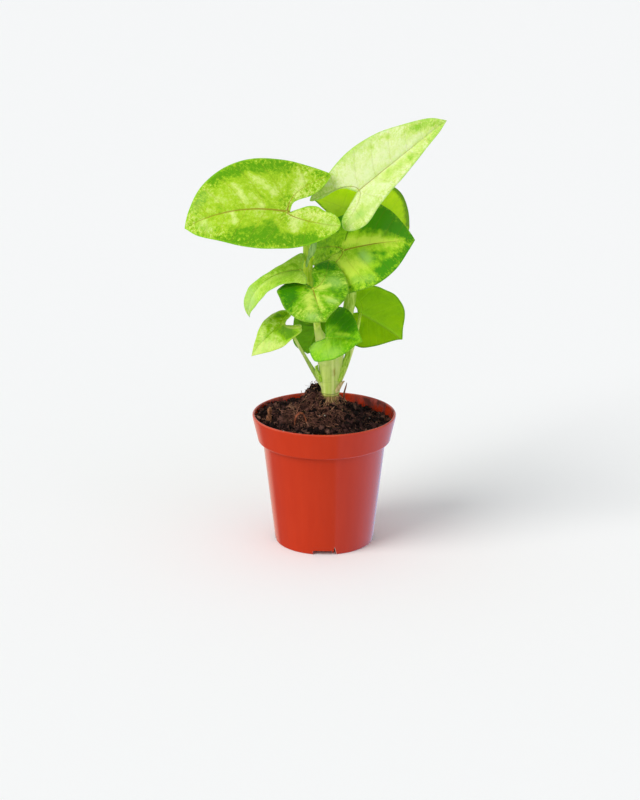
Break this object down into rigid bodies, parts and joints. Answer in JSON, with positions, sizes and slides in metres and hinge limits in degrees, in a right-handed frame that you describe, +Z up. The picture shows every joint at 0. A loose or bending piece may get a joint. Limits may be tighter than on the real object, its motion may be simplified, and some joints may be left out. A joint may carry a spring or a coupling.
{
  "type": "potted arrowhead plant",
  "caption": "Young arrowhead plant with variegated heart-shaped leaves on long stalks, rooted in soil in a small tapered plastic nursery pot with a collar.",
  "frame": {"origin": "the middle of the pot's underside, on the surface that it stands on", "axes": "+Z up along the pot's axis; the plant's front, as seen in the picture, looks along -Y; +X is to the right seen from the front"},
  "size_m": [0.096, 0.055, 0.1634],
  "materials": {
    "pot_plastic": "terracotta-coloured, soft gloss, faintly ribbed by moulding",
    "soil": "dark peat with reddish roots and white perlite",
    "stem": "pale green, juicy, with thin papery sheaths",
    "young_leaf": "bluish grey-green, smooth",
    "leaf_variegated": "lime and cream centre, speckled darker green margin, soft sheen",
    "leaf_plain": "even mid green, soft sheen",
    "dry_husk": "dry orange-brown papery strip",
    "bark": "tan rough chip"
  },
  "bodies": {
    "root": {"pot": "pot_plastic", "soil": "soil", "stem": "stem", "rolled_leaf": "young_leaf", "leaf_upper_left": "leaf_variegated", "leaf_upper_right": "leaf_variegated", "leaf_behind_right": "leaf_variegated", "leaf_right": "leaf_variegated", "leaf_drooping": "leaf_variegated", "leaf_centre": "leaf_variegated", "leaf_lower_left": "leaf_variegated", "leaf_lower_behind": "leaf_plain", "leaf_lower_right": "leaf_plain", "leaf_low_front": "leaf_variegated", "husk": "dry_husk", "bark_chip": "bark"}
  },
  "joints": []
}
